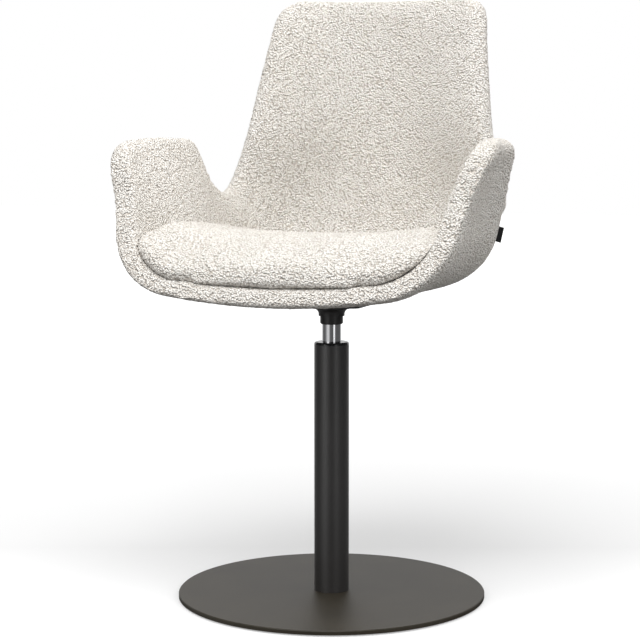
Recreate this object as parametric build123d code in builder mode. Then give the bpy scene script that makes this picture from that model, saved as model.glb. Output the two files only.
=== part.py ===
"""Pedestal swivel armchair: an upholstered bucket shell on a gas-spring column and a round plate base.

Millimetres. +Z is up and the origin is on the floor under the column's axis. The sitter faces -Y,
so the sitter's left hand is on +X and the height lever is on -X.
"""

import os
from collections import namedtuple
from math import cos, hypot, radians, sin, tan

from build123d import *

# ---------------------------------------------------------------- driving dimensions
# Base and column
glide_thickness = 2.0
glide_radius = 218.0
base_radius = 225.0
base_thickness = 6.0
base_edge_chamfer = 1.2
base_centre_radius = 9.5
column_radius = 25.4
column_wall = 2.0
column_length = 364.0
foot_height = 26.0
foot_edge = 2.0
weld_clearance = 0.05
screw_radius = 3.0
screw_circle = 16.5
screw_count = 3
screw_head_radius = 6.0
screw_length = 20.0
screw_key_radius = 2.0
screw_key_depth = 2.4
thread_clearance = 0.05
hole_clearance = 0.4

# Guide bush in the mouth of the column
bush_flange = 4.0
bush_length = 122.0
bush_lip_radius = 2.8

# Thrust bearing that carries the turning seat
race_thickness = 3.0
race_radius = 14.0
race_bore_clearance = 0.3
ball_radius = 2.5
ball_circle = 10.0
ball_count = 10
ball_play = 0.02
cage_thickness = 3.0
cage_rim = 3.2

# Gas spring
rod_radius = 5.0
rod_end_height = 3.0
running_clearance = 0.05
clip_thickness = 1.2
clip_radius = 8.2
clip_groove_depth = 1.0
clip_gap_width = 6.0
washer_thickness = 1.2
washer_radius = 8.8
seat_gap = 0.1
sleeve_radius = 8.5
bump_radius = 11.0
bump_height = 10.0
bump_fillet = 2.0
stop_gap = 0.3
height_down = 20.0
height_up = 80.0
spring_reach = 221.7
spring_radius = 14.0
spring_wall = 2.0
spring_end_wall = 4.5
spring_set_back = 1.0
guide_height = 24.0
piston_height = 15.0
piston_gap = 0.5
rod_in_piston = 12.0
valve_height = 30.0
pin_radius = 3.0
pin_depth = 10.0
pin_end_radius = 1.5
pin_bore_spare = 0.6

# Seat mechanism
chrome_showing = 26.0
hub_radius = 16.7
hub_edge = 1.5
taper_drop = 1.0
taper_clearance = 0.02
collar_height = 12.0
cover_height = 17.0
cover_waist = 19.0
cover_skirt = 2.5
cover_brim = 27.0
cover_fit = 0.1
tray_depth = 22.0
tray_sheet = 2.5
tray_side = 120.0
tray_corner = 12.0
flange_side = 180.0
bolt_spacing = 150.0
bolt_radius = 4.0
bolt_head_radius = 6.5
bolt_head_height = 8.0
bolt_key_radius = 3.0
bolt_key_depth = 4.0
bolt_washer_radius = 8.0
bolt_washer_thickness = 1.6
bolt_engagement = 10.0
insert_radius = 5.5
insert_length = 11.0

# Height lever, on the sitter's right
lever_radius = 4.0
lever_rise = 8.5
lever_pivot_offset = 45.0
lever_swing = 5.0
lever_inner_end = 4.0
lever_boss_radius = 6.3
lever_boss_width = 9.4
lever_bend_start = 108.0
lever_drop = 4.0
lever_drop_run = 20.0
lever_bend_radius = 18.0
lever_rod_end = 150.0
pivot_radius = 2.5
bracket_sheet = 2.0
bracket_floor = 1.5
bracket_length = 20.0
bracket_play = 0.3
bracket_ear = 14.0
bracket_corner = 3.5
lever_gap = 0.3
lever_slot_width = 14.0
lever_slot_reach = 5.0
grip_start = 135.0
grip_length = 60.0
grip_width = 22.0
grip_height = 9.0
grip_fillet = 3.5
grip_corner = 8.8

# Upholstered shell, seen from the side
lip_reach = 250.0
pan_flat = 375.0
bend_radius = 101.0
back_lean = 7.7
core_thickness = 12.0
core_clearance = 0.2
core_leg = 4.0
pad_side = 190.0
pad_proud = 1.0
pad_sunk = 7.0
pocket_margin = 2.0
channel_reach = 138.0
channel_width = 30.0
channel_rise = 5.0

# Seat cushion
soft_clearance = 0.3
cushion_dish = 25.0
cushion_draw = 6.0
cushion_roll = 12.0
cushion_edge_share = 0.6
cushion_bulge_share = 0.7

# Bare fabric tab sewn in the side seam
tab_width = 24.0
tab_reach = 7.0
tab_thickness = 1.4
tab_seam_angle = 74.0

# ---------------------------------------------------------------- heights that follow
base_top = glide_thickness + base_thickness
column_inner = column_radius - column_wall
column_top = base_top + column_length
foot_top = base_top + foot_height
lower_race_top = foot_top + race_thickness
upper_race_bottom = lower_race_top + 2 * (ball_radius + ball_play)
upper_race_top = upper_race_bottom + race_thickness
spring_bottom = column_top - spring_reach
bump_top = spring_bottom - height_down - stop_gap
sleeve_top = bump_top - bump_height
guide_top = spring_bottom + guide_height
piston_bottom = guide_top + height_up + piston_gap
piston_top = piston_bottom + piston_height
rod_top = piston_bottom + rod_in_piston
bush_top = column_top + bush_flange
hub_bottom = bush_top + chrome_showing
tray_bottom = hub_bottom + collar_height + cover_height
tray_floor = tray_bottom + tray_sheet
tray_top = tray_bottom + tray_depth
hub_top = tray_floor
spring_top = hub_top - spring_set_back
spring_bore = spring_radius - spring_wall
valve_top = spring_top - spring_end_wall
lever_height = tray_floor + lever_rise
pin_top = lever_height - lever_radius - lever_gap
pin_travel = lever_pivot_offset * tan(radians(lever_swing))
pin_bottom = valve_top - pin_depth
pin_bore_bottom = pin_bottom - pin_travel - pin_bore_spare
pan_height = tray_top + pad_proud + core_thickness / 2

# ---------------------------------------------------------------- ribs of the shell
# Each rib is a flat cross-section. It stands on the shell's centre line at "along" millimetres
# from the front lip, and leans so that its tip meets the rim at (tip_y, pan_height + tip_rise).
# The moulded core stops short of that tip by "edge_foam".
Rib = namedtuple("Rib", "along tip_y tip_rise half_width wall_angle curl corner_radius thickness edge_foam")
RIBS = [
    Rib(0, -192, 111, 238, 81, 11, 90, 22, 34),
    Rib(9, -183, 134, 245, 81, 11, 94, 27, 34),
    Rib(28, -167, 170, 256, 81, 12, 97, 31, 60),
    Rib(60, -138, 189, 263, 79, 12, 102, 33, 50),
    Rib(100, -105, 194, 260, 78, 11, 104, 33, 40),
    Rib(190, -40, 195, 247, 77, 8, 104, 34, 36),
    Rib(288, 16, 193, 242, 77, 4, 104, 36, 50),
    Rib(355, 45, 184, 243, 74, 2, 103, 36, 95),
    Rib(411, 64, 134, 225, 69, 1, 109, 36, 45),
    Rib(468, 119, 116, 211, 60, 1, 118, 36, 34),
    Rib(529, 147, 143, 200, 48, 1, 135, 36, 34),
    Rib(620, 160, 208, 181, 38, 1, 160, 36, 34),
    Rib(712, 182, 292, 167, 32, 1, 180, 36, 34),
    Rib(796, 212, 377, 155, 28, 1, 200, 36, 34),
    Rib(841, 230, 411, 145, 26, 1, 200, 32, 34),
    Rib(858, 239, 424, 131, 25, 1, 200, 18, 34),
]
CORE_RIBS = RIBS[2:-1]
TAB_RIB = RIBS[7]
floor_angle_front = 9.0
floor_angle_bend = 7.0
floor_angle_back = 8.0


def floor_angle(along):
    """Half the turn of the shell's shallow floor arc, in degrees."""
    if along <= pan_flat:
        return floor_angle_front + (floor_angle_bend - floor_angle_front) * along / pan_flat
    rise = min(1.0, (along - pan_flat) / (RIBS[11].along - pan_flat))
    return floor_angle_bend + (floor_angle_back - floor_angle_bend) * rise


def rib_foot(along):
    """Point (y, z) of the shell's centre line: flat pan, bend, leaning back."""
    bend_start = pan_flat - lip_reach
    turn = radians(90 - back_lean)
    if along <= pan_flat:
        return along - lip_reach, pan_height
    angle = min(turn, (along - pan_flat) / bend_radius)
    y = bend_start + bend_radius * sin(angle)
    z = pan_height + bend_radius * (1 - cos(angle))
    straight = along - pan_flat - bend_radius * angle
    return y + straight * cos(turn), z + straight * sin(turn)


def rib_plane(rib):
    """Plane of a rib: local x is the chair's X, local y runs from the foot to the tip."""
    foot_y, foot_z = rib_foot(rib.along)
    run_y, run_z = rib.tip_y - foot_y, pan_height + rib.tip_rise - foot_z
    length = hypot(run_y, run_z)
    return Plane(origin=(0, foot_y, foot_z), x_dir=(1, 0, 0), z_dir=(0, -run_z / length, run_y / length))


def rib_arcs(rib, shorten=0.0):
    """Half the rib's centre line, as (x, y, tangent angle) at the ends and middles of its three arcs.

    The floor arc and the leg are solved so that the tip lands on the rim.
    """
    foot_y, foot_z = rib_foot(rib.along)
    rise = hypot(rib.tip_y - foot_y, pan_height + rib.tip_rise - foot_z)
    low, high, curl = radians(floor_angle(rib.along)), radians(rib.wall_angle), radians(rib.curl)
    radius = rib.corner_radius
    # Unit steps of the floor arc and of the leg
    floor_x, floor_y = sin(low), 1 - cos(low)
    chord = sin(curl / 2) / (curl / 2)
    leg_x, leg_y = chord * cos(high - curl / 2), chord * sin(high - curl / 2)
    rest_x = rib.half_width - radius * (sin(high) - sin(low))
    rest_y = rise - radius * (cos(low) - cos(high))
    area = floor_x * leg_y - floor_y * leg_x
    floor_radius = (rest_x * leg_y - rest_y * leg_x) / area
    leg = (floor_x * rest_y - floor_y * rest_x) / area
    # However short the rib's leg is, the core keeps a stub of its own leg to bend over the corner
    shorten = min(shorten, leg - core_leg)
    curl = curl * (leg - shorten) / leg
    leg = leg - shorten

    points = []
    for angle in (0, low / 2, low):
        points.append((floor_radius * sin(angle), floor_radius * (1 - cos(angle)), angle))
    x, y, _ = points[-1]
    for angle in ((low + high) / 2, high):
        points.append((x + radius * (sin(angle) - sin(low)), y + radius * (cos(low) - cos(angle)), angle))
    x, y, _ = points[-1]
    for share in (0.5, 1.0):
        half_turn = curl * share / 2
        reach = leg * share * sin(half_turn) / half_turn
        points.append((x + reach * cos(high - half_turn), y + reach * sin(high - half_turn), high - curl * share))
    return points


def beside(point, distance):
    """The point moved square to its tangent, towards the inside of the shell when positive."""
    x, y, angle = point
    return x - distance * sin(angle), y + distance * cos(angle)


def mirrored(point):
    return -point[0], point[1]


def arc_pair(start, middle, end):
    """An arc and its mirror image on the sitter's other side."""
    ThreePointArc(start, middle, end)
    ThreePointArc(mirrored(start), mirrored(middle), mirrored(end))


def rib_outline(rib, thickness, shorten=0.0):
    """Closed outline of a rib: outer skin, rounded tips and inner skin."""
    points = rib_arcs(rib, shorten)
    half = thickness / 2
    for distance in (-half, half):
        side = [beside(point, distance) for point in points]
        ThreePointArc(mirrored(side[2]), side[0], side[2])
        arc_pair(side[2], side[3], side[4])
        arc_pair(side[4], side[5], side[6])
    x, y, angle = points[-1]
    tip = (x + half * cos(angle), y + half * sin(angle))
    for side in (-1, 1):
        turn = angle + side * radians(45)
        middle = (x + half * cos(turn), y + half * sin(turn))
        arc_pair(beside(points[-1], side * half), middle, tip)


# Upright sections of the cushion, from its nose to its back edge. The crown is the top's height on
# the chair's centre plane and the shoulder its height beside the rolled edge, both over the pan.
Slice = namedtuple("Slice", "y half_width crown shoulder")
CUSHION_SLICES = [
    Slice(-244.5, 118, 28, 25),
    Slice(-241, 150, 40, 36),
    Slice(-235, 173, 49, 46),
    Slice(-226, 192, 56, 55),
    Slice(-213, 207, 61, 65),
    Slice(-196, 211, 66, 73),
    Slice(-172, 209, 69.5, 79),
    Slice(-140, 205, 72, 83),
    Slice(-100, 201, 73, 82),
    Slice(-60, 196, 72.3, 79),
    Slice(-20, 194, 71, 75.5),
    Slice(20, 192, 68.8, 71.5),
    Slice(60, 190, 65.5, 68),
    Slice(100, 181, 62, 64.5),
    Slice(131, 170, 58.5, 61),
    Slice(155, 153, 55.5, 58),
    Slice(175, 132, 52.5, 55),
    Slice(192, 108, 49, 51),
    Slice(205, 80, 46, 47),
]
cushion_widest = max(slice_.half_width for slice_ in CUSHION_SLICES)


def cushion_outline(slice_):
    """Closed outline of the cushion, in an upright plane: dished below and above, with rolled edges."""
    into_bend = max(0.0, slice_.y - (pan_flat - lip_reach))
    middle = pan_height + bend_radius - (bend_radius**2 - into_bend**2) ** 0.5
    low = middle + cushion_dish * (slice_.half_width / cushion_widest) ** 2
    top = pan_height + slice_.crown
    shoulder = pan_height + slice_.shoulder
    edge = low + cushion_edge_share * (shoulder - low)
    root = (slice_.half_width - cushion_draw, low)
    side = (slice_.half_width, edge)
    shoulder_start = (slice_.half_width - cushion_roll, shoulder)
    bulge = (
        slice_.half_width - (1 - cushion_bulge_share) * cushion_roll,
        edge + cushion_bulge_share * (shoulder - edge),
    )
    ThreePointArc(mirrored(root), (0, middle), root)
    Line(root, side)
    Line(mirrored(root), mirrored(side))
    arc_pair(side, bulge, shoulder_start)
    ThreePointArc(shoulder_start, (0, top), mirrored(shoulder_start))


def slice_plane(slice_):
    return Plane((0, slice_.y, 0), x_dir=(1, 0, 0), z_dir=(0, -1, 0))


def loft_sections(sections, plane, outline):
    """Solid lofted through the outline of each section, drawn in the section's own plane."""
    with BuildPart() as lofted:
        for section in sections:
            with BuildSketch(plane(section)):
                with BuildLine():
                    outline(section)
                make_face()
        loft()
    return lofted.part


def shell_loft(thickness_added):
    """The whole shell, thickened all over."""
    return loft_sections(RIBS, rib_plane, lambda rib: rib_outline(rib, rib.thickness + thickness_added))


def core_loft(clearance):
    """The moulded core, thickened all over by a clearance."""
    thickness = core_thickness + 2 * clearance
    return loft_sections(CORE_RIBS, rib_plane, lambda rib: rib_outline(rib, thickness, rib.edge_foam - clearance))


def save(piece, name):
    piece.part.label = name
    export_step(piece.part, f"parts/{name}.step")


os.makedirs("parts", exist_ok=True)

# ================================================================ base, which stands still
# Felt glide glued under the plate: the face that the chair rests on
with BuildPart() as base_glide:
    Cylinder(glide_radius, glide_thickness, align=(Align.CENTER, Align.CENTER, Align.MIN))
save(base_glide, "base_glide")

# Round steel plate, countersunk from below for the column's screws
with BuildPart() as base_plate:
    with BuildSketch(Plane.XY.offset(glide_thickness)):
        Circle(base_radius)
        Circle(base_centre_radius, mode=Mode.SUBTRACT)
    extrude(amount=base_thickness)
    top_rim = base_plate.edges().filter_by(GeomType.CIRCLE).group_by(Axis.Z)[-1].sort_by(SortBy.LENGTH)[-1]
    chamfer(top_rim, base_edge_chamfer)
    with Locations(Plane((0, 0, glide_thickness), x_dir=(1, 0, 0), z_dir=(0, 0, -1))):
        with PolarLocations(screw_circle, screw_count):
            CounterSinkHole(
                screw_radius + hole_clearance,
                screw_head_radius + hole_clearance,
                counter_sink_angle=90,
            )
save(base_plate, "base_plate")

# Column tube, welded to its foot
with BuildPart() as column_tube:
    with BuildSketch(Plane.XY.offset(base_top)):
        Circle(column_radius)
        Circle(column_inner, mode=Mode.SUBTRACT)
    extrude(amount=column_length)
save(column_tube, "column_tube")

# Turned foot inside the tube: it takes the screws and centres the piston rod
with BuildPart() as column_foot:
    with BuildSketch(Plane.XY.offset(base_top)):
        Circle(column_inner - weld_clearance)
        Circle(rod_radius + running_clearance, mode=Mode.SUBTRACT)
        with PolarLocations(screw_circle, screw_count):
            Circle(screw_radius + thread_clearance, mode=Mode.SUBTRACT)
    extrude(amount=foot_height)
    top_edge = column_foot.edges().filter_by(GeomType.CIRCLE).group_by(Axis.Z)[-1].sort_by(SortBy.LENGTH)[-1]
    chamfer(top_edge, foot_edge)
save(column_foot, "column_foot")

# Countersunk screws with a hexagon socket, from below
with BuildPart() as base_screws:
    with BuildSketch(Plane.XZ):
        with BuildLine():
            Polyline(
                (0, glide_thickness),
                (screw_head_radius, glide_thickness),
                (screw_radius, glide_thickness + screw_head_radius - screw_radius),
                (screw_radius, glide_thickness + screw_length),
                (0, glide_thickness + screw_length),
                close=True,
            )
        make_face()
    revolve(axis=Axis.Z)
    with BuildSketch(Plane.XY.offset(glide_thickness)):
        RegularPolygon(screw_key_radius, 6)
    extrude(amount=screw_key_depth, mode=Mode.SUBTRACT)
screw = base_screws.part
with BuildPart() as base_screws:
    with PolarLocations(screw_circle, screw_count):
        add(screw)
save(base_screws, "base_screws")

# Plastic guide bush in the mouth of the column, with the glossy flange that shows
with BuildPart() as guide_bush:
    with BuildSketch(Plane.XY.offset(column_top - bush_length)):
        Circle(column_inner - weld_clearance)
    extrude(amount=bush_length)
    with BuildSketch(Plane.XY.offset(column_top)):
        Circle(column_radius)
    extrude(amount=bush_flange)
    fillet(guide_bush.edges().filter_by(GeomType.CIRCLE).group_by(Axis.Z)[-1], bush_lip_radius)
    with BuildSketch(Plane.XY.offset(bush_top)):
        Circle(spring_radius + running_clearance)
    extrude(amount=-bush_length - bush_flange, mode=Mode.SUBTRACT)
save(guide_bush, "guide_bush")


def race(name, bottom, bore):
    with BuildPart() as ring:
        with BuildSketch(Plane.XY.offset(bottom)):
            Circle(race_radius)
            Circle(bore, mode=Mode.SUBTRACT)
        extrude(amount=race_thickness)
    save(ring, name)


race("lower_race", foot_top, rod_radius + race_bore_clearance)
race("upper_race", upper_race_bottom, rod_radius + running_clearance)

# ================================================================ thrust bearing between them
ball_height = (lower_race_top + upper_race_bottom) / 2
with BuildPart() as bearing_balls:
    with PolarLocations(ball_circle, ball_count):
        with Locations((0, 0, ball_height)):
            Sphere(ball_radius)
save(bearing_balls, "bearing_balls")

with BuildPart() as ball_cage:
    with BuildSketch(Plane.XY.offset(ball_height - cage_thickness / 2)):
        Circle(ball_circle + cage_rim)
        Circle(ball_circle - cage_rim, mode=Mode.SUBTRACT)
        with PolarLocations(ball_circle, ball_count):
            Circle(ball_radius + running_clearance, mode=Mode.SUBTRACT)
    extrude(amount=cage_thickness)
save(ball_cage, "ball_cage")

# ================================================================ piston rod, which turns in the base
clip_top = base_top - washer_thickness - 2 * seat_gap
clip_bottom = clip_top - clip_thickness
groove_radius = rod_radius - clip_groove_depth
with BuildPart() as piston_rod:
    with BuildSketch(Plane.XY.offset(rod_end_height)):
        Circle(rod_radius)
    extrude(amount=rod_top - rod_end_height)
    chamfer(piston_rod.edges().group_by(Axis.Z)[0], clip_groove_depth / 2)
    with BuildSketch(Plane.XY.offset(clip_bottom - seat_gap / 2)):
        Circle(rod_radius)
        Circle(groove_radius, mode=Mode.SUBTRACT)
    extrude(amount=clip_thickness + seat_gap, mode=Mode.SUBTRACT)
save(piston_rod, "piston_rod")

with BuildPart() as rod_washer:
    with BuildSketch(Plane.XY.offset(clip_top + seat_gap)):
        Circle(washer_radius)
        Circle(rod_radius + running_clearance, mode=Mode.SUBTRACT)
    extrude(amount=washer_thickness)
save(rod_washer, "rod_washer")

with BuildPart() as rod_clip:
    with BuildSketch(Plane.XY.offset(clip_bottom)):
        Circle(clip_radius)
        Circle(groove_radius + running_clearance, mode=Mode.SUBTRACT)
        with Locations((clip_radius, 0)):
            Rectangle(2 * clip_radius, clip_gap_width, mode=Mode.SUBTRACT)
    extrude(amount=clip_thickness)
save(rod_clip, "rod_clip")

with BuildPart() as stop_sleeve:
    with BuildSketch(Plane.XY.offset(upper_race_top)):
        Circle(sleeve_radius)
        Circle(rod_radius + running_clearance, mode=Mode.SUBTRACT)
    extrude(amount=sleeve_top - upper_race_top)
save(stop_sleeve, "stop_sleeve")

with BuildPart() as bump_stop:
    with BuildSketch(Plane.XY.offset(sleeve_top)):
        Circle(bump_radius)
        Circle(rod_radius + running_clearance, mode=Mode.SUBTRACT)
    extrude(amount=bump_height)
    outer = bump_stop.edges().filter_by(GeomType.CIRCLE).sort_by(SortBy.RADIUS)[-2:]
    fillet(outer, bump_fillet)
save(bump_stop, "bump_stop")

with BuildPart() as piston:
    with BuildSketch(Plane.XY.offset(piston_bottom)):
        Circle(spring_bore - running_clearance)
    extrude(amount=piston_height)
    with BuildSketch(Plane.XY.offset(piston_bottom)):
        Circle(rod_radius + weld_clearance)
    extrude(amount=rod_in_piston + seat_gap, mode=Mode.SUBTRACT)
save(piston, "piston")


# ================================================================ gas spring, which slides on the rod
def tapered(height, radius):
    """Radius of the hub's taper at a height, from the full radius at the hub's lower end."""
    return radius - taper_drop * (height - hub_bottom) / (hub_top - hub_bottom)


with BuildPart() as pressure_tube:
    with BuildSketch(Plane.XZ):
        with BuildLine():
            Polyline(
                (spring_bore, spring_bottom),
                (spring_radius, spring_bottom),
                (spring_radius, hub_bottom),
                (tapered(spring_top, spring_radius), spring_top),
                (pin_radius + hole_clearance, spring_top),
                (pin_radius + hole_clearance, valve_top),
                (spring_bore, valve_top),
                close=True,
            )
        make_face()
    revolve(axis=Axis.Z)
save(pressure_tube, "pressure_tube")

with BuildPart() as rod_guide:
    with BuildSketch(Plane.XY.offset(spring_bottom)):
        Circle(spring_bore - weld_clearance)
        Circle(rod_radius + running_clearance, mode=Mode.SUBTRACT)
    extrude(amount=guide_height)
save(rod_guide, "rod_guide")

with BuildPart() as valve_body:
    with BuildSketch(Plane.XY.offset(valve_top - valve_height)):
        Circle(spring_bore - weld_clearance)
    extrude(amount=valve_height)
    with BuildSketch(Plane.XY.offset(valve_top)):
        Circle(pin_radius + running_clearance)
    extrude(amount=pin_bore_bottom - valve_top, mode=Mode.SUBTRACT)
save(valve_body, "valve_body")

with BuildPart() as release_pin:
    with BuildSketch(Plane.XY.offset(pin_bottom)):
        Circle(pin_radius)
    extrude(amount=pin_top - pin_bottom)
    fillet(release_pin.edges().group_by(Axis.Z)[-1], pin_end_radius)
save(release_pin, "release_pin")

# ================================================================ seat mechanism
with BuildPart() as seat_hub:
    with BuildSketch(Plane.XZ):
        with BuildLine():
            bore = spring_radius + taper_clearance
            Polyline(
                (bore, hub_bottom),
                (hub_radius - hub_edge, hub_bottom),
                (hub_radius, hub_bottom + hub_edge),
                (hub_radius, hub_top),
                (tapered(hub_top, bore), hub_top),
                close=True,
            )
        make_face()
    revolve(axis=Axis.Z)
save(seat_hub, "seat_hub")

# Flared plastic cover between the collar and the tray
cover_bottom = hub_bottom + collar_height
flare_bottom = cover_bottom + cover_skirt
flare_top = flare_bottom + cover_brim - cover_waist
with BuildPart() as hub_cover:
    with BuildSketch(Plane.XZ):
        with BuildLine():
            bore = hub_radius + cover_fit
            Line((bore, tray_bottom), (bore, cover_bottom))
            Line((bore, cover_bottom), (cover_waist, cover_bottom))
            Line((cover_waist, cover_bottom), (cover_waist, flare_bottom))
            TangentArc((cover_waist, flare_bottom), (cover_brim, flare_top), tangent=(0, 1))
            Line((cover_brim, flare_top), (cover_brim, tray_bottom))
            Line((cover_brim, tray_bottom), (bore, tray_bottom))
        make_face()
    revolve(axis=Axis.Z)
save(hub_cover, "hub_cover")

# Pressed steel tray with a bolting flange round its open top
flange_bottom = tray_top - tray_sheet
with BuildPart() as mechanism_tray:
    with BuildSketch(Plane.XY.offset(tray_bottom)):
        RectangleRounded(tray_side, tray_side, tray_corner)
    extrude(amount=tray_depth)
    with BuildSketch(Plane.XY.offset(flange_bottom)):
        RectangleRounded(flange_side, flange_side, tray_corner)
    extrude(amount=tray_sheet)
    with BuildSketch(Plane.XY.offset(tray_floor)):
        inside = tray_side - 2 * tray_sheet
        RectangleRounded(inside, inside, tray_corner - tray_sheet)
    extrude(amount=tray_depth, mode=Mode.SUBTRACT)
    with BuildSketch(Plane.XY.offset(tray_bottom)):
        Circle(hub_radius + weld_clearance)
    extrude(amount=tray_sheet, mode=Mode.SUBTRACT)
    with Locations(Plane.XY.offset(flange_bottom)):
        with GridLocations(bolt_spacing, bolt_spacing, 2, 2):
            Hole(bolt_radius + hole_clearance)
    slot_bottom = lever_height - lever_radius - hole_clearance
    with BuildSketch(Plane.XY.offset(slot_bottom)):
        with Locations((-tray_side / 2, 0)):
            Rectangle(2 * lever_slot_reach, lever_slot_width)
    extrude(amount=flange_bottom - slot_bottom, mode=Mode.SUBTRACT)
save(mechanism_tray, "mechanism_tray")

# Socket-head bolts from below, washers under their heads and threaded inserts in the inner shell
washer_bottom = flange_bottom - bolt_washer_thickness
bolt_top = tray_top + bolt_engagement
with BuildPart() as mounting_bolts:
    with GridLocations(bolt_spacing, bolt_spacing, 2, 2):
        with Locations((0, 0, washer_bottom)):
            Cylinder(bolt_radius, bolt_top - washer_bottom, align=(Align.CENTER, Align.CENTER, Align.MIN))
            Cylinder(bolt_head_radius, bolt_head_height, align=(Align.CENTER, Align.CENTER, Align.MAX))
    with BuildSketch(Plane.XY.offset(washer_bottom - bolt_head_height)):
        with GridLocations(bolt_spacing, bolt_spacing, 2, 2):
            RegularPolygon(bolt_key_radius, 6)
    extrude(amount=bolt_key_depth, mode=Mode.SUBTRACT)
save(mounting_bolts, "mounting_bolts")

with BuildPart() as bolt_washers:
    with BuildSketch(Plane.XY.offset(washer_bottom)):
        with GridLocations(bolt_spacing, bolt_spacing, 2, 2):
            Circle(bolt_washer_radius)
            Circle(bolt_radius + hole_clearance, mode=Mode.SUBTRACT)
    extrude(amount=bolt_washer_thickness)
save(bolt_washers, "bolt_washers")

with BuildPart() as threaded_inserts:
    with BuildSketch(Plane.XY.offset(tray_top)):
        with GridLocations(bolt_spacing, bolt_spacing, 2, 2):
            Circle(insert_radius)
            Circle(bolt_radius + thread_clearance, mode=Mode.SUBTRACT)
    extrude(amount=insert_length)
save(threaded_inserts, "threaded_inserts")

# ================================================================ height lever
# Folded bracket that carries the lever's pivot pin
ear_inside = lever_boss_width / 2 + bracket_play
bracket_width = 2 * (ear_inside + bracket_sheet)
with BuildPart() as lever_bracket:
    with BuildSketch(Plane.XY.offset(tray_floor)):
        with Locations((-lever_pivot_offset, 0)):
            Rectangle(bracket_length, bracket_width)
    extrude(amount=bracket_ear)
    with BuildSketch(Plane.XY.offset(tray_floor + bracket_floor)):
        with Locations((-lever_pivot_offset, 0)):
            Rectangle(bracket_length, 2 * ear_inside)
    extrude(amount=bracket_ear, mode=Mode.SUBTRACT)
    corners = lever_bracket.edges().filter_by(Axis.Y).group_by(Axis.Z)[-1]
    fillet(corners, bracket_corner)
    with BuildSketch(Plane((-lever_pivot_offset, 0, lever_height), x_dir=(1, 0, 0), z_dir=(0, 1, 0))):
        Circle(pivot_radius + weld_clearance)
    extrude(amount=bracket_width, both=True, mode=Mode.SUBTRACT)
save(lever_bracket, "lever_bracket")

with BuildPart() as lever_pivot:
    with BuildSketch(Plane((-lever_pivot_offset, 0, lever_height), x_dir=(1, 0, 0), z_dir=(0, 1, 0))):
        Circle(pivot_radius)
    extrude(amount=bracket_width / 2 + bracket_sheet, both=True)
save(lever_pivot, "lever_pivot")

# Bent steel rod with a cross boss at the pivot
grip_height_centre = lever_height - lever_drop
with BuildPart() as lever_rod:
    with BuildLine() as lever_path:
        FilletPolyline(
            (lever_inner_end, 0, lever_height),
            (-lever_bend_start, 0, lever_height),
            (-lever_bend_start - lever_drop_run, 0, grip_height_centre),
            (-lever_rod_end, 0, grip_height_centre),
            radius=lever_bend_radius,
        )
    with BuildSketch(Plane((lever_inner_end, 0, lever_height), x_dir=(0, 1, 0), z_dir=(-1, 0, 0))):
        Circle(lever_radius)
    sweep(path=lever_path.line)
    with BuildSketch(Plane((-lever_pivot_offset, 0, lever_height), x_dir=(1, 0, 0), z_dir=(0, 1, 0))):
        Circle(lever_boss_radius)
    extrude(amount=lever_boss_width / 2, both=True)
    with BuildSketch(Plane((-lever_pivot_offset, 0, lever_height), x_dir=(1, 0, 0), z_dir=(0, 1, 0))):
        Circle(pivot_radius + running_clearance)
    extrude(amount=lever_boss_width, both=True, mode=Mode.SUBTRACT)
save(lever_rod, "lever_rod")

# Plastic paddle grip pushed on to the rod's end
with BuildPart() as lever_grip:
    with BuildSketch(Plane.XY.offset(grip_height_centre - grip_height / 2)):
        with Locations((-grip_start - grip_length / 2, 0)):
            RectangleRounded(grip_length, grip_width, grip_corner)
    extrude(amount=grip_height)
    fillet(lever_grip.edges().group_by(Axis.Z)[0] + lever_grip.edges().group_by(Axis.Z)[-1], grip_fillet)
    with BuildSketch(Plane((-grip_start, 0, grip_height_centre), x_dir=(0, 1, 0), z_dir=(-1, 0, 0))):
        Circle(lever_radius + weld_clearance)
    extrude(amount=lever_rod_end - grip_start + seat_gap, mode=Mode.SUBTRACT)
save(lever_grip, "lever_grip")

# ================================================================ upholstered shell
pad_top = tray_top + pad_sunk


# Moulded inner shell with a flat mounting pad under the seat
core = core_loft(0)
with BuildPart() as inner_shell:
    add(core)
    with BuildSketch(Plane.XY.offset(tray_top)):
        Rectangle(pad_side, pad_side)
    extrude(amount=pad_sunk)
    with BuildSketch(Plane.XY.offset(tray_top)):
        with GridLocations(bolt_spacing, bolt_spacing, 2, 2):
            Circle(insert_radius + weld_clearance)
    extrude(amount=insert_length + seat_gap, mode=Mode.SUBTRACT)
save(inner_shell, "inner_shell")

# Foam and cover round it, open over the mounting pad and where the lever passes
core_space = core_loft(core_clearance)
full_shell = shell_loft(0)
with BuildPart() as shell_upholstery:
    add(full_shell)
    add(core_space, mode=Mode.SUBTRACT)
    pocket = pad_side + 2 * pocket_margin
    with BuildSketch(Plane.XY.offset(pad_top)):
        Rectangle(pocket, pocket)
    extrude(amount=tray_bottom - pad_top, mode=Mode.SUBTRACT)
    with BuildSketch(Plane.XY.offset(tray_top + channel_rise)):
        with Locations((-channel_reach / 2, 0)):
            Rectangle(channel_reach, channel_width)
    extrude(amount=tray_bottom - tray_top - channel_rise, mode=Mode.SUBTRACT)
save(shell_upholstery, "shell_upholstery")

# Seat cushion, crowned, lying in the bowl of the shell
cushion_block = loft_sections(CUSHION_SLICES, slice_plane, cushion_outline)
room_round_shell = shell_loft(2 * soft_clearance)
with BuildPart() as seat_cushion:
    add(cushion_block)
    add(room_round_shell, mode=Mode.SUBTRACT)
save(seat_cushion, "seat_cushion")

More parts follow.
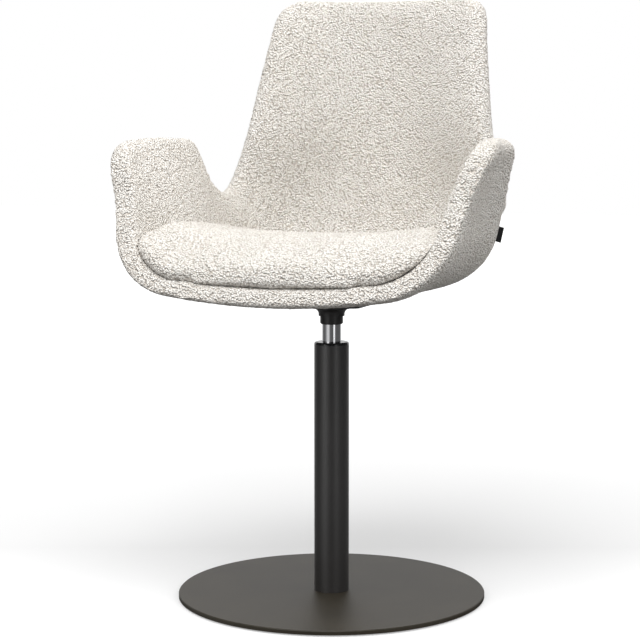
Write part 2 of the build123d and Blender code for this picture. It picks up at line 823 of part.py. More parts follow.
# Bare fabric tab, square to the shell's outer skin
tab_points = rib_arcs(TAB_RIB)
corner_x, corner_y = beside(tab_points[2], TAB_RIB.corner_radius)
seam = radians(tab_seam_angle)
outward = TAB_RIB.corner_radius + TAB_RIB.thickness / 2 + soft_clearance
tab_plane = rib_plane(TAB_RIB)
tab_root = tab_plane.from_local_coords((corner_x + outward * sin(seam), corner_y - outward * cos(seam), 0))
tab_out = tab_plane.from_local_coords((corner_x + 2 * outward * sin(seam), corner_y - 2 * outward * cos(seam), 0))
with BuildPart() as label_tab:
    with BuildSketch(Plane(origin=tab_root, x_dir=tab_out - tab_root, z_dir=tab_plane.z_dir)):
        with Locations((tab_reach / 2, 0)):
            Rectangle(tab_reach, tab_width)
    extrude(amount=tab_thickness / 2, both=True)
save(label_tab, "label_tab")
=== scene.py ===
"""Looks of a pedestal swivel armchair: boucle bucket shell and cushion, black column and plate."""

import math

import bmesh
import bpy
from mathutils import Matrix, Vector
from mathutils.bvhtree import BVHTree


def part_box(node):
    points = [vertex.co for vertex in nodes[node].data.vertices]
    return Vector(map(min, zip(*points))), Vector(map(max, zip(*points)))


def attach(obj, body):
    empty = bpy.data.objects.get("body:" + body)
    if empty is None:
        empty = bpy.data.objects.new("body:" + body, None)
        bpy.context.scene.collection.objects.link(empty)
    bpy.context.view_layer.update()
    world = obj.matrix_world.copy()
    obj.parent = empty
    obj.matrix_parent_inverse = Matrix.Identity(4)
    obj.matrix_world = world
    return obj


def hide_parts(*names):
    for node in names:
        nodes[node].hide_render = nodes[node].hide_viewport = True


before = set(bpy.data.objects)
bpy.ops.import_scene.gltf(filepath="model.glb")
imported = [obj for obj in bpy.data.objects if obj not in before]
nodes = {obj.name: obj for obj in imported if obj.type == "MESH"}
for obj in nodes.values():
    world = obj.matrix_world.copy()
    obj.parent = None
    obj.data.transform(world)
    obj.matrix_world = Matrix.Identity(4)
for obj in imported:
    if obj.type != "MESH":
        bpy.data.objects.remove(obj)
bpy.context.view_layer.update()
MM = 0.001

# Camera, as the photograph's frame gives it
picture_width = 640
focal_pixels = 1781
axis_pixel = 331.6
sensor_width = 36.0
camera_turn = math.radians(19.8)
camera_pitch = math.radians(6.018)
camera_distance = 2.576
camera_height = 0.679

# Covers: the grid they are remeshed on, and the loops of the yarn
shell_voxel = 4.4 * MM
shell_smoothing = 4
cushion_voxel = 4.2 * MM
cushion_smoothing = 5
loop_size = 4.8 * MM
loop_height = 1.2 * MM

# Flat pad under the moulded core, which the cover leaves free for the tray
pad_half_side = 96.5 * MM
pad_room = 4 * MM

# Cushion: filling, full ends, sunken back edge and the long round fall in front
cushion_gap = 0.8 * MM
cushion_fill = 2.5 * MM
cushion_swell_limit = 4 * MM
cushion_underside = 2 * MM
cushion_body = 50 * MM
cushion_half_width = 200 * MM
end_start = 110 * MM
end_full = 190 * MM
end_rise = 6 * MM
end_reach = 9 * MM
back_start = -100 * MM
back_full = 50 * MM
back_sink = 3 * MM
front_roll_start = -140 * MM
front_roll_depth = 105 * MM
front_roll_drop = 20 * MM
front_smoothing = 24
swell_steps = 20

# Tab: parts of the tape's reach and thickness, and the thread that holds it
tape_root = -0.15
tape_bend = 0.90
tape_sag = 0.22
tape_rows = 24
stitch_count = 7
stitch_first = 0.12
stitch_step = 0.127
stitch_line = 0.22
stitch_half = (1.1 * MM, 0.22 * MM, 0.14 * MM)


# ---------------------------------------------------------------- shader helpers
def new_material(name):
    material = bpy.data.materials.new(name)
    material.use_nodes = True
    tree = material.node_tree
    return material, tree, tree.nodes["Principled BSDF"]


def add_node(tree, kind, inputs=None, **settings):
    node = tree.nodes.new(kind)
    for key, value in settings.items():
        setattr(node, key, value)
    for key, value in (inputs or {}).items():
        if isinstance(value, bpy.types.NodeSocket):
            tree.links.new(value, node.inputs[key])
        else:
            node.inputs[key].default_value = value
    return node


def object_place(tree):
    return add_node(tree, "ShaderNodeTexCoord").outputs["Object"]


def mapped(tree, value, source, target):
    """The value's place in the source range, moved to the target range and kept inside it."""
    inputs = {"Value": value, "From Min": source[0], "From Max": source[1]}
    inputs["To Min"], inputs["To Max"] = target
    return add_node(tree, "ShaderNodeMapRange", inputs).outputs["Result"]


def colour_ramp(tree, factor, stops):
    ramp = add_node(tree, "ShaderNodeValToRGB", {"Fac": factor})
    elements = ramp.color_ramp.elements
    while len(elements) < len(stops):
        elements.new(0.5)
    for element, (place, colour) in zip(elements, stops):
        element.position = place
        element.color = (*colour, 1)
    return ramp.outputs["Color"]


def set_bump(tree, shader, height, strength, distance):
    bump = add_node(
        tree,
        "ShaderNodeBump",
        {"Height": height, "Strength": strength, "Distance": distance},
    )
    tree.links.new(bump.outputs["Normal"], shader.inputs["Normal"])


# ---------------------------------------------------------------- finishes
def boucle():
    """Off-white looped yarn: small round loops with curled strings over them, with painted shade
    darkening the gaps.
    """
    material, tree, shader = new_material("boucle")
    place = object_place(tree)
    wander = add_node(
        tree,
        "ShaderNodeTexNoise",
        {"Vector": place, "Scale": 210.0, "Detail": 1.0, "Distortion": 0.4},
    ).outputs["Fac"]
    turns = add_node(
        tree, "ShaderNodeMath", {0: wander, 1: 22.0}, operation="MULTIPLY"
    ).outputs[0]
    strings = add_node(tree, "ShaderNodeMath", {0: turns}, operation="SINE").outputs[0]
    across_loop = add_node(
        tree,
        "ShaderNodeTexVoronoi",
        {"Vector": place, "Scale": 370.0, "Smoothness": 0.35},
        feature="SMOOTH_F1",
    ).outputs["Distance"]
    fall = add_node(
        tree, "ShaderNodeMath", {0: across_loop, 1: across_loop}, operation="MULTIPLY"
    ).outputs[0]
    patches = add_node(
        tree, "ShaderNodeTexNoise", {"Vector": place, "Scale": 9.0, "Detail": 3.0}
    ).outputs["Fac"]
    string_height = add_node(
        tree, "ShaderNodeMath", {0: strings, 1: 0.05, 2: 0.87}, operation="MULTIPLY_ADD"
    ).outputs[0]
    height = add_node(
        tree, "ShaderNodeMath", {0: fall, 1: -1.5, 2: string_height}, operation="MULTIPLY_ADD"
    ).outputs[0]
    # Colour by the loops' height: the low gaps get painted shade, darker and warmer than the loop
    # tops.
    yarn_with_gap_shade = colour_ramp(
        tree,
        height,
        [
            (0.20, (0.70, 0.645, 0.58)),
            (0.50, (0.875, 0.84, 0.79)),
            (0.80, (0.91, 0.885, 0.84)),
        ],
    )
    tone = colour_ramp(
        tree, patches, [(0.35, (0.97, 0.965, 0.955)), (0.65, (1.0, 1.0, 1.0))]
    )
    shaded = add_node(
        tree, "ShaderNodeVectorMath", {0: yarn_with_gap_shade, 1: tone}, operation="MULTIPLY"
    ).outputs[0]
    tree.links.new(shaded, shader.inputs["Base Color"])
    set_bump(tree, shader, height, 1.0, 0.0036)
    shader.inputs["Roughness"].default_value = 0.95
    shader.inputs["Specular IOR Level"].default_value = 0.1
    shader.inputs["Sheen Weight"].default_value = 0.1
    shader.inputs["Sheen Roughness"].default_value = 0.6
    return material


def powder_coat(name, colour, roughness, specular=0.5):
    """Matt fine-grained powder coating, with a slight unevenness of tone."""
    material, tree, shader = new_material(name)
    place = object_place(tree)
    grain = add_node(
        tree, "ShaderNodeTexNoise", {"Vector": place, "Scale": 1400.0, "Detail": 2.0}
    ).outputs["Fac"]
    clouds = add_node(
        tree, "ShaderNodeTexNoise", {"Vector": place, "Scale": 14.0, "Detail": 4.0}
    ).outputs["Fac"]
    light = tuple(1.12 * c for c in colour)
    dark = tuple(0.88 * c for c in colour)
    tree.links.new(
        colour_ramp(tree, clouds, [(0.3, dark), (0.7, light)]),
        shader.inputs["Base Color"],
    )
    rough = mapped(tree, grain, (0, 1), (roughness - 0.06, roughness + 0.08))
    tree.links.new(rough, shader.inputs["Roughness"])
    shader.inputs["Specular IOR Level"].default_value = specular
    set_bump(tree, shader, grain, 0.25, 0.0003)
    return material


def polished_chrome():
    material, tree, shader = new_material("polished_chrome")
    place = object_place(tree)
    drawn = add_node(
        tree,
        "ShaderNodeMapping",
        {"Vector": place, "Scale": (900.0, 900.0, 12.0)},
    ).outputs["Vector"]
    lines = add_node(
        tree, "ShaderNodeTexNoise", {"Vector": drawn, "Scale": 1.0, "Detail": 2.0}
    ).outputs["Fac"]
    rough = mapped(tree, lines, (0, 1), (0.05, 0.13))
    tree.links.new(rough, shader.inputs["Roughness"])
    tree.links.new(
        colour_ramp(tree, lines, [(0.3, (0.72, 0.72, 0.74)), (0.7, (0.80, 0.80, 0.82))]),
        shader.inputs["Base Color"],
    )
    shader.inputs["Metallic"].default_value = 1.0
    return material


def plain_metal(name, colour, roughness):
    """Turned or plated metal with faint tool marks."""
    material, tree, shader = new_material(name)
    marks = add_node(
        tree,
        "ShaderNodeTexNoise",
        {"Vector": object_place(tree), "Scale": 500.0, "Detail": 3.0},
    ).outputs["Fac"]
    rough = mapped(tree, marks, (0, 1), (roughness - 0.07, roughness + 0.09))
    tree.links.new(rough, shader.inputs["Roughness"])
    dark = tuple(0.92 * c for c in colour)
    tree.links.new(
        colour_ramp(tree, marks, [(0.3, dark), (0.7, colour)]),
        shader.inputs["Base Color"],
    )
    shader.inputs["Metallic"].default_value = 1.0
    return material


def moulded_plastic(name, colour, roughness):
    """Moulded plastic or rubber with a fine mould grain."""
    material, tree, shader = new_material(name)
    grain = add_node(
        tree,
        "ShaderNodeTexNoise",
        {"Vector": object_place(tree), "Scale": 900.0, "Detail": 2.0},
    ).outputs["Fac"]
    light = tuple(min(1.0, 1.2 * c) for c in colour)
    tree.links.new(
        colour_ramp(tree, grain, [(0.35, colour), (0.65, light)]),
        shader.inputs["Base Color"],
    )
    rough = mapped(tree, grain, (0, 1), (roughness - 0.05, roughness + 0.05))
    tree.links.new(rough, shader.inputs["Roughness"])
    set_bump(tree, shader, grain, 0.12, 0.0002)
    return material


def woven_tape(name, colour, scale):
    """Fine plain weave, for the tab and the felt."""
    material, tree, shader = new_material(name)
    place = object_place(tree)
    warp = add_node(
        tree, "ShaderNodeTexWave", {"Vector": place, "Scale": scale}, bands_direction="Z"
    ).outputs["Fac"]
    weft = add_node(
        tree, "ShaderNodeTexWave", {"Vector": place, "Scale": scale}, bands_direction="Y"
    ).outputs["Fac"]
    weave = add_node(
        tree, "ShaderNodeMath", {0: warp, 1: weft}, operation="MULTIPLY"
    ).outputs[0]
    light = tuple(1.8 * c for c in colour)
    tree.links.new(
        colour_ramp(tree, weave, [(0.1, colour), (0.9, light)]),
        shader.inputs["Base Color"],
    )
    set_bump(tree, shader, weave, 0.4, 0.0002)
    shader.inputs["Roughness"].default_value = 0.85
    return material


# ---------------------------------------------------------------- mesh helpers
def merged_copy(name, *node_names):
    """One mesh object with the merged surfaces of these CAD nodes."""
    shape = bmesh.new()
    for node_name in node_names:
        shape.from_mesh(nodes[node_name].data)
    bmesh.ops.remove_doubles(shape, verts=shape.verts, dist=1e-6)
    mesh = bpy.data.meshes.new(name)
    shape.to_mesh(mesh)
    shape.free()
    piece = bpy.data.objects.new(name, mesh)
    bpy.context.scene.collection.objects.link(piece)
    return piece


def settle(piece):
    """Replace the piece's mesh by its evaluated one and drop its modifiers."""
    bpy.context.view_layer.update()
    evaluated = piece.evaluated_get(bpy.context.evaluated_depsgraph_get())
    mesh = bpy.data.meshes.new_from_object(evaluated)
    old = piece.data
    piece.modifiers.clear()
    piece.data = mesh
    bpy.data.meshes.remove(old)


def remeshed(piece, voxel, smooth_steps):
    remesh = piece.modifiers.new("remesh", "REMESH")
    remesh.mode = "VOXEL"
    remesh.voxel_size = voxel
    soften = piece.modifiers.new("soften", "SMOOTH")
    soften.factor = 0.5
    soften.iterations = smooth_steps
    settle(piece)


def finer(piece):
    surface = piece.modifiers.new("surface", "SUBSURF")
    surface.levels = 1
    surface.render_levels = 1
    settle(piece)


def shade_smooth(piece):
    piece.data.polygons.foreach_set("use_smooth", [True] * len(piece.data.polygons))


def loop_relief_tree():
    """Node tree that lifts a surface into curled boucle loops."""
    tree = bpy.data.node_groups.new("loop_relief", "GeometryNodeTree")
    face = tree.interface
    face.new_socket("Geometry", in_out="INPUT", socket_type="NodeSocketGeometry")
    for name, value in (("Loop size", loop_size), ("Loop height", loop_height)):
        socket = face.new_socket(name, in_out="INPUT", socket_type="NodeSocketFloat")
        socket.default_value = value
    face.new_socket("Material", in_out="INPUT", socket_type="NodeSocketMaterial")
    face.new_socket("Geometry", in_out="OUTPUT", socket_type="NodeSocketGeometry")
    start = tree.nodes.new("NodeGroupInput")
    end = tree.nodes.new("NodeGroupOutput")
    place = add_node(tree, "GeometryNodeInputPosition").outputs[0]
    frequency = add_node(
        tree, "ShaderNodeMath", {0: 1.0, 1: start.outputs["Loop size"]}, operation="DIVIDE"
    ).outputs[0]
    scaled = add_node(
        tree, "ShaderNodeVectorMath", {0: place}, operation="SCALE"
    )
    tree.links.new(frequency, scaled.inputs["Scale"])
    wander = add_node(
        tree,
        "ShaderNodeTexNoise",
        {"Vector": scaled.outputs[0], "Scale": 0.7, "Detail": 1.0},
    ).outputs["Color"]
    curled = add_node(
        tree, "ShaderNodeVectorMath", {0: wander, 1: scaled.outputs[0]}, operation="ADD"
    ).outputs[0]
    loops = add_node(
        tree,
        "ShaderNodeTexVoronoi",
        {"Vector": curled, "Scale": 1.0, "Smoothness": 0.5},
        feature="SMOOTH_F1",
    ).outputs["Distance"]
    knots = add_node(
        tree,
        "ShaderNodeTexNoise",
        {"Vector": scaled.outputs[0], "Scale": 0.45, "Detail": 2.0},
    ).outputs["Fac"]
    rise = add_node(tree, "ShaderNodeMath", {0: 0.75, 1: loops}, operation="SUBTRACT").outputs[0]
    both = add_node(tree, "ShaderNodeMath", {0: rise, 1: knots}, operation="ADD").outputs[0]
    centred = add_node(tree, "ShaderNodeMath", {0: both, 1: 0.75}, operation="SUBTRACT").outputs[0]
    lift = add_node(
        tree,
        "ShaderNodeMath",
        {0: centred, 1: start.outputs["Loop height"]},
        operation="MULTIPLY",
    ).outputs[0]
    normal = add_node(tree, "GeometryNodeInputNormal").outputs[0]
    offset = add_node(tree, "ShaderNodeVectorMath", {0: normal}, operation="SCALE")
    tree.links.new(lift, offset.inputs["Scale"])
    moved = add_node(
        tree,
        "GeometryNodeSetPosition",
        {"Geometry": start.outputs["Geometry"], "Offset": offset.outputs[0]},
    ).outputs[0]
    real = add_node(tree, "GeometryNodeRealizeInstances", {"Geometry": moved}).outputs[0]
    finished = add_node(
        tree,
        "GeometryNodeSetMaterial",
        {"Geometry": real, "Material": start.outputs["Material"]},
    ).outputs[0]
    tree.links.new(finished, end.inputs["Geometry"])
    return tree


def raise_loops(piece, tree, material):
    relief = piece.modifiers.new("loops", "NODES")
    relief.node_group = tree
    for item in tree.interface.items_tree:
        if item.name == "Material" and item.in_out == "INPUT":
            relief[item.identifier] = material
    settle(piece)


# ---------------------------------------------------------------- upholstery
def cover_in_boucle(piece, node_name):
    """Refine the skin, lift the loops on it and let it stand for the CAD node."""
    finer(piece)
    raise_loops(piece, loops_tree, boucle_finish)
    shade_smooth(piece)
    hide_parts(node_name)
    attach(piece, "seat")


def upholstered_shell():
    """The whole bucket's cover. The moulded core inside closes its hollow before remeshing."""
    piece = merged_copy("bucket_cover", "shell_upholstery", "inner_shell")
    remeshed(piece, shell_voxel, shell_smoothing)
    core_low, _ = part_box("inner_shell")
    pad_top = core_low.z + pad_room
    for vertex in piece.data.vertices:
        x, y, z = vertex.co
        if abs(x) < pad_half_side and abs(y) < pad_half_side and z < pad_top:
            vertex.co.z = pad_top
    skin = surface_tree(piece)
    cover_in_boucle(piece, "shell_upholstery")
    return skin


def share_of(value, start, end):
    """How far the value has come from start to end, eased at both."""
    part = min(1.0, max(0.0, (value - start) / (end - start)))
    return part * part * (3 - 2 * part)


def stuff_cushion(piece):
    """Give the pad a long round fall in front, full ends and a slightly sunken back edge."""
    low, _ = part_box("seat_cushion")
    soft = piece.vertex_groups.new(name="front")
    for vertex in piece.data.vertices:
        x, y, z = vertex.co
        forward = min(1.0, max(0.0, (front_roll_start - y) / front_roll_depth))
        inside = max(0.0, 1.0 - (abs(x) / cushion_half_width) ** 4)
        height = min(1.0, max(0.0, (z - low.z - cushion_underside) / cushion_body))
        end = share_of(abs(x), end_start, end_full) * height
        back = share_of(y, back_start, back_full) * height * (1 - end)
        fill = cushion_fill * (1 - back) * vertex.normal
        rise = end_rise * end - back_sink * back
        rise -= front_roll_drop * forward**1.5 * height * inside
        vertex.co = Vector((x + math.copysign(end_reach * end, x), y, z + rise)) + fill
        soft.add([vertex.index], forward, "REPLACE")
    soften = piece.modifiers.new("soften", "SMOOTH")
    soften.factor = 0.5
    soften.iterations = front_smoothing
    soften.vertex_group = "front"
    settle(piece)
    piece.vertex_groups.clear()


def surface_tree(piece):
    """The skin as it is now, to measure distances from."""
    mesh = piece.data
    return BVHTree.FromPolygons(
        [vertex.co.copy() for vertex in mesh.vertices],
        [tuple(face.vertices) for face in mesh.polygons],
    )


def keep_clear(piece, neighbour, gap):
    """Bring back what has gone nearer than the gap to the neighbour's skin, or under it."""
    for vertex in piece.data.vertices:
        skin, normal, _, _ = neighbour.find_nearest(vertex.co)
        room = (vertex.co - skin).dot(normal)
        if room < gap:
            vertex.co += (gap - room) * normal


def swell(piece, limit):
    """Fill the cushion with air for a moment, then keep no move longer than the limit."""
    rest = [vertex.co.copy() for vertex in piece.data.vertices]
    cloth = piece.modifiers.new("cloth", "CLOTH")
    cloth.settings.use_pressure = True
    cloth.settings.uniform_pressure_force = 4.0
    cloth.settings.effector_weights.gravity = 0.0
    cloth.settings.mass = 0.3
    cloth.settings.tension_stiffness = 30.0
    cloth.settings.compression_stiffness = 30.0
    cloth.settings.bending_stiffness = 3.0
    scene = bpy.context.scene
    for step in range(1, swell_steps + 1):
        scene.frame_set(step)
    settle(piece)
    scene.frame_set(1)
    for vertex, before in zip(piece.data.vertices, rest):
        move = vertex.co - before
        if move.length > limit:
            vertex.co = before + move.normalized() * limit


def seat_cushion(shell_skin):
    """The loose pad in the bucket, kept clear of the bucket's skin."""
    piece = merged_copy("cushion_cover", "seat_cushion")
    remeshed(piece, cushion_voxel, cushion_smoothing)
    stuff_cushion(piece)
    swell(piece, cushion_swell_limit)
    keep_clear(piece, shell_skin, cushion_gap)
    cover_in_boucle(piece, "seat_cushion")


# ---------------------------------------------------------------- tab
def tape_outline():
    """Hairpin of tape from its side: share of the tab's reach, share of its thickness."""
    upper_run = [(tape_root, 0.93), (0.35, 0.96), (0.75, 0.97)]
    lower_run = [(0.75, 0.03), (0.35, 0.04), (tape_root, 0.07)]
    inner_lower = [(tape_root, 0.38), (0.35, 0.36), (0.80, 0.35)]
    inner_upper = [(0.80, 0.65), (0.35, 0.64), (tape_root, 0.62)]
    fold = []
    for turn in range(0, 181, 30):
        angle = math.radians(turn)
        reach = tape_bend + (1 - tape_bend) * math.sin(angle)
        fold.append((reach, 0.5 + 0.47 * math.cos(angle)))
    return upper_run + fold + lower_run + inner_lower + [(0.88, 0.5)] + inner_upper


def tab_place():
    """The CAD tab's lowest corner and its edges through, outward and along the seam."""
    corners = {tuple(round(c, 7) for c in vertex.co) for vertex in nodes["label_tab"].data.vertices}
    root = Vector(min(corners))
    steps = sorted((Vector(corner) - root for corner in corners), key=lambda step: step.length)
    # Steps by length: none, thickness, reach, both of these, and the tab's width
    return root, steps[1], steps[2], steps[4]


def tape_rings(shape, place):
    """Outlines across the tab's width, with a sag in its middle."""
    root, through, reach, across = place
    rings = []
    for row in range(tape_rows + 1):
        share = row / tape_rows
        drape = tape_sag * math.sin(math.pi * share)
        ring = []
        for out, level in tape_outline():
            lift = drape * max(0.0, out) ** 2
            spot = root + out * reach + (level - lift) * through + share * across
            ring.append(shape.verts.new(spot))
        rings.append(ring)
    return rings


def skin_rings(shape, rings):
    count = len(rings[0])
    for first, second in zip(rings, rings[1:]):
        for index in range(count):
            after = (index + 1) % count
            shape.faces.new((first[index], first[after], second[after], second[index]))
    shape.faces.new(rings[0][::-1])
    shape.faces.new(rings[-1])


def stitch_down(shape, place):
    """Sewing thread along the root, over and under the tape."""
    root, through, reach, across = place
    half_long, half_wide, half_high = stitch_half
    for stitch in range(stitch_count):
        middle = root + stitch_line * reach + (stitch_first + stitch_step * stitch) * across
        for level in (0.02, 0.98):
            thread = bmesh.ops.create_icosphere(shape, subdivisions=1, radius=1.0)["verts"]
            for vertex in thread:
                x, y, z = vertex.co
                vertex.co = (
                    middle
                    + level * through
                    + half_long * x * across.normalized()
                    + half_wide * y * reach.normalized()
                    + half_high * z * through.normalized()
                )


def folded_tab(finish):
    """Bare loop of woven tape, folded at its outer end and sewn down beside the seam."""
    place = tab_place()
    shape = bmesh.new()
    skin_rings(shape, tape_rings(shape, place))
    stitch_down(shape, place)
    bmesh.ops.recalc_face_normals(shape, faces=shape.faces)
    mesh = bpy.data.meshes.new("folded_tab")
    shape.to_mesh(mesh)
    shape.free()
    piece = bpy.data.objects.new("folded_tab", mesh)
    bpy.context.scene.collection.objects.link(piece)
    mesh.materials.append(finish)
    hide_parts("label_tab")
    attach(piece, "seat")


# ---------------------------------------------------------------- pieces made here
boucle_finish = boucle()
loops_tree = loop_relief_tree()
seat_cushion(upholstered_shell())

# ---------------------------------------------------------------- finishes of the carried-over nodes
plate_black = powder_coat("plate_black", (0.036, 0.030, 0.020), 0.48, 0.3)
column_black = powder_coat("column_black", (0.024, 0.0225, 0.022), 0.38, 1.0)
chrome = polished_chrome()
gloss_plastic = moulded_plastic("gloss_plastic", (0.012, 0.012, 0.013), 0.16)
satin_plastic = moulded_plastic("satin_plastic", (0.018, 0.017, 0.017), 0.45)
coated_steel = powder_coat("coated_steel", (0.022, 0.021, 0.021), 0.4)
zinc = plain_metal("zinc", (0.62, 0.62, 0.64), 0.35)
ground_steel = plain_metal("ground_steel", (0.56, 0.56, 0.58), 0.25)
turned_brass = plain_metal("turned_brass", (0.70, 0.52, 0.24), 0.3)
rubber = moulded_plastic("rubber", (0.02, 0.02, 0.02), 0.8)
core_plastic = moulded_plastic("core_plastic", (0.10, 0.10, 0.105), 0.6)
felt = woven_tape("felt", (0.07, 0.07, 0.07), 300.0)
tape = woven_tape("tape", (0.02, 0.02, 0.022), 700.0)

NODE_FINISHES = {
    "base_plate": plate_black,
    "column_tube": column_black,
    "guide_bush": gloss_plastic,
    "pressure_tube": chrome,
    "piston_rod": chrome,
    "seat_hub": coated_steel,
    "column_foot": coated_steel,
    "lever_rod": coated_steel,
    "mechanism_tray": coated_steel,
    "hub_cover": satin_plastic,
    "lever_grip": satin_plastic,
    "ball_cage": satin_plastic,
    "stop_sleeve": satin_plastic,
    "piston": satin_plastic,
    "rod_guide": satin_plastic,
    "base_screws": zinc,
    "rod_washer": zinc,
    "rod_clip": zinc,
    "valve_body": zinc,
    "mounting_bolts": zinc,
    "bolt_washers": zinc,
    "lever_bracket": zinc,
    "lower_race": ground_steel,
    "upper_race": ground_steel,
    "bearing_balls": ground_steel,
    "release_pin": ground_steel,
    "lever_pivot": ground_steel,
    "threaded_inserts": turned_brass,
    "bump_stop": rubber,
    "inner_shell": core_plastic,
    "base_glide": felt,
}
for node_name, finish in NODE_FINISHES.items():
    for material_slot in nodes[node_name].material_slots:
        material_slot.material = finish

folded_tab(tape)

# ---------------------------------------------------------------- floor, light and camera
# Brightness round the studio, from behind the camera by its left, the backdrop and its right
BACKDROP_IN_METAL = [
    (0.0, 0.05),
    (0.045, 0.06),
    (0.085, 0.75),
    (0.125, 1.0),
    (0.19, 0.35),
    (0.23, 0.06),
    (0.34, 0.07),
    (0.38, 1.0),
    (0.62, 1.0),
    (0.66, 0.03),
    (0.85, 0.02),
    (0.885, 0.45),
    (0.925, 0.55),
    (0.95, 0.04),
]
WALL_LIGHT = [
    (0.0, 0.05),
    (0.12, 0.15),
    (0.25, 0.85),
    (0.5, 0.9),
    (0.72, 1.7),
    (0.86, 1.8),
    (0.94, 0.20),
    (1.0, 0.05),
]
ceiling_light = 1.1
floor_for_camera = 0.58
floor_for_light = 0.16
floor_for_metal = 0.08

# Glow of the floor that the camera sees. It is weaker behind the plate, which paints shade into the
# shadow there, and stronger in front, which paints light over the shadow there.
glow_behind_painted_shade = 0.12
glow_before_painted_light = 0.40
glow_far = 0.70
glow_turns_from = -0.3
glow_turns_to = 0.1
glow_grows_from = 0.4
glow_grows_to = 3.5

# Soft boxes: place by steps forward, right and up from the chair as the camera sees it, the height
# they face, width and height of the panel, power, and spread in degrees
SOFT_BOXES = {
    "overhead_box": ((-0.9, -0.2, 2.8), 0.5, (1.5, 1.5), 41, 180),
    "back_box": ((-1.9, -0.2, 1.9), 0.82, (0.5, 0.5), 0.45, 40),
    "left_box": ((-1.45, -1.35, 1.8), 1.8, (0.5, 3.0), 9, 180),
    "right_box": ((-1.9, 1.1, 1.0), 1.0, (0.4, 1.8), 3, 180),
}


def studio_place(forward, right, up):
    """A point of the studio, told by steps from the chair's foot as the camera sees it."""
    away = Vector((-math.sin(camera_turn), math.cos(camera_turn), 0))
    across = Vector((math.cos(camera_turn), math.sin(camera_turn), 0))
    return forward * away + right * across + Vector((0, 0, up))


def ray_kinds(tree):
    """Camera rays, and the rays by which metal and glass see the studio."""
    path = add_node(tree, "ShaderNodeLightPath")
    metal = add_node(
        tree,
        "ShaderNodeMath",
        {0: path.outputs["Is Glossy Ray"], 1: path.outputs["Is Transmission Ray"]},
        operation="MAXIMUM",
    ).outputs[0]
    return path.outputs["Is Camera Ray"], metal


def studio_turn(tree, direction):
    """Bearing round the studio, 0 to 1 from behind the camera by its left to its right."""
    parts = []
    for axis in (studio_place(1, 0, 0), studio_place(0, 1, 0)):
        parts.append(
            add_node(
                tree,
                "ShaderNodeVectorMath",
                {0: direction, 1: tuple(axis)},
                operation="DOT_PRODUCT",
            ).outputs["Value"]
        )
    bearing = add_node(
        tree, "ShaderNodeMath", {0: parts[1], 1: parts[0]}, operation="ARCTAN2"
    ).outputs[0]
    return mapped(tree, bearing, (-math.pi, math.pi), (0, 1))


def level_ramp(tree, turn, levels):
    return colour_ramp(tree, turn, [(place, (level, level, level)) for place, level in levels])


def white_backdrop(tree, turn):
    """White for the camera. Metal sees the white backdrop, the soft boxes and dim walls."""
    camera, metal = ray_kinds(tree)
    in_metal = add_node(
        tree,
        "ShaderNodeMath",
        {0: level_ramp(tree, turn, BACKDROP_IN_METAL), 1: metal},
        operation="MULTIPLY",
    ).outputs[0]
    seen = add_node(tree, "ShaderNodeMath", {0: camera, 1: in_metal}, operation="MAXIMUM").outputs[0]
    either = add_node(tree, "ShaderNodeMath", {0: camera, 1: metal}, operation="MAXIMUM").outputs[0]
    return seen, either


def studio_floor():
    mesh = bpy.data.meshes.new("studio_floor")
    half = 12.0
    corners = [(-half, -half, 0), (half, -half, 0), (half, half, 0), (-half, half, 0)]
    mesh.from_pydata(corners, [], [(0, 1, 2, 3)])
    floor = bpy.data.objects.new("studio_floor", mesh)
    bpy.context.scene.collection.objects.link(floor)
    material, tree, shader = new_material("pale_floor")
    shader.inputs["Roughness"].default_value = 0.9
    shader.inputs["Specular IOR Level"].default_value = 0.0
    shader.inputs["Emission Color"].default_value = (1, 1, 1, 1)
    place = object_place(tree)
    camera, metal = ray_kinds(tree)
    dull = add_node(
        tree,
        "ShaderNodeMath",
        {0: metal, 1: floor_for_metal - floor_for_light, 2: floor_for_light},
        operation="MULTIPLY_ADD",
    ).outputs[0]
    tone = add_node(
        tree,
        "ShaderNodeMath",
        {0: camera, 1: floor_for_camera - floor_for_light, 2: dull},
        operation="MULTIPLY_ADD",
    ).outputs[0]
    tree.links.new(tone, shader.inputs["Base Color"])
    away = add_node(
        tree, "ShaderNodeVectorMath", {0: place}, operation="LENGTH"
    ).outputs["Value"]
    front = add_node(
        tree,
        "ShaderNodeVectorMath",
        {0: place, 1: tuple(studio_place(-1, 0, 0))},
        operation="DOT_PRODUCT",
    ).outputs["Value"]
    # Painted shade behind the plate and painted light before it: the glow goes from weak behind to
    # strong in front.
    glow_painted_by_side = mapped(tree, front, (glow_turns_from, glow_turns_to), (glow_behind_painted_shade, glow_before_painted_light))
    filled = mapped(tree, away, (glow_grows_from, glow_grows_to), (glow_painted_by_side, glow_far))
    seen, _ = white_backdrop(tree, studio_turn(tree, place))
    glow = add_node(tree, "ShaderNodeMath", {0: seen, 1: filled}, operation="MULTIPLY").outputs[0]
    tree.links.new(glow, shader.inputs["Emission Strength"])
    mesh.materials.append(material)


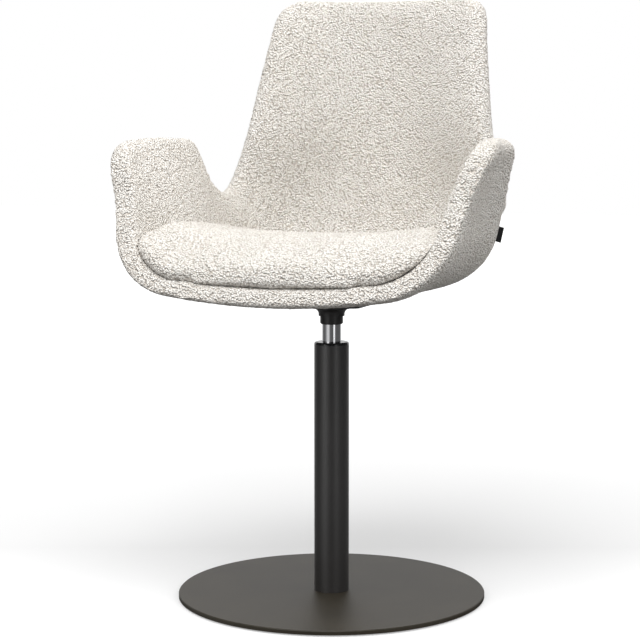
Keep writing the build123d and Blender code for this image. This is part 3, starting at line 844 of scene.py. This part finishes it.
def soft_box(name, steps, aim_height, size, power, spread):
    """Lamp panel of this width and height, facing the chair's axis. A grid narrows its spread."""
    place = studio_place(*steps)
    data = bpy.data.lights.new(name, "AREA")
    data.shape = "RECTANGLE"
    data.size, data.size_y = size
    data.energy = power
    data.spread = math.radians(spread)
    lamp = bpy.data.objects.new(name, data)
    lamp.location = place
    facing = Vector((0, 0, aim_height)) - place
    lamp.rotation_euler = facing.to_track_quat("-Z", "Y").to_euler()
    bpy.context.scene.collection.objects.link(lamp)


def studio_world():
    world = bpy.data.worlds.new("studio")
    world.use_nodes = True
    tree = world.node_tree
    background = tree.nodes["Background"]
    background.inputs["Color"].default_value = (1, 1, 1, 1)
    direction = add_node(tree, "ShaderNodeTexCoord").outputs["Generated"]
    turn = studio_turn(tree, direction)
    seen, either = white_backdrop(tree, turn)
    height = add_node(tree, "ShaderNodeSeparateXYZ", {0: direction}).outputs["Z"]
    sky = mapped(tree, height, (0, 1), (level_ramp(tree, turn, WALL_LIGHT), ceiling_light))
    unseen = add_node(tree, "ShaderNodeMath", {0: 1.0, 1: either}, operation="SUBTRACT").outputs[0]
    strength = add_node(
        tree, "ShaderNodeMath", {0: sky, 1: unseen, 2: seen}, operation="MULTIPLY_ADD"
    ).outputs[0]
    tree.links.new(strength, background.inputs["Strength"])
    bpy.context.scene.world = world


def photo_camera():
    data = bpy.data.cameras.new("camera")
    data.sensor_width = sensor_width
    data.lens = focal_pixels / picture_width * sensor_width
    data.shift_x = (picture_width / 2 - axis_pixel) / picture_width
    camera = bpy.data.objects.new("camera", data)
    camera.location = (
        camera_distance * math.sin(camera_turn),
        -camera_distance * math.cos(camera_turn),
        camera_height,
    )
    camera.rotation_euler = (math.pi / 2 - camera_pitch, 0, camera_turn)
    bpy.context.scene.collection.objects.link(camera)
    bpy.context.scene.camera = camera


studio_floor()
studio_world()
for box_name, box_facts in SOFT_BOXES.items():
    soft_box(box_name, *box_facts)
photo_camera()
bpy.context.scene.view_settings.view_transform = "Standard"
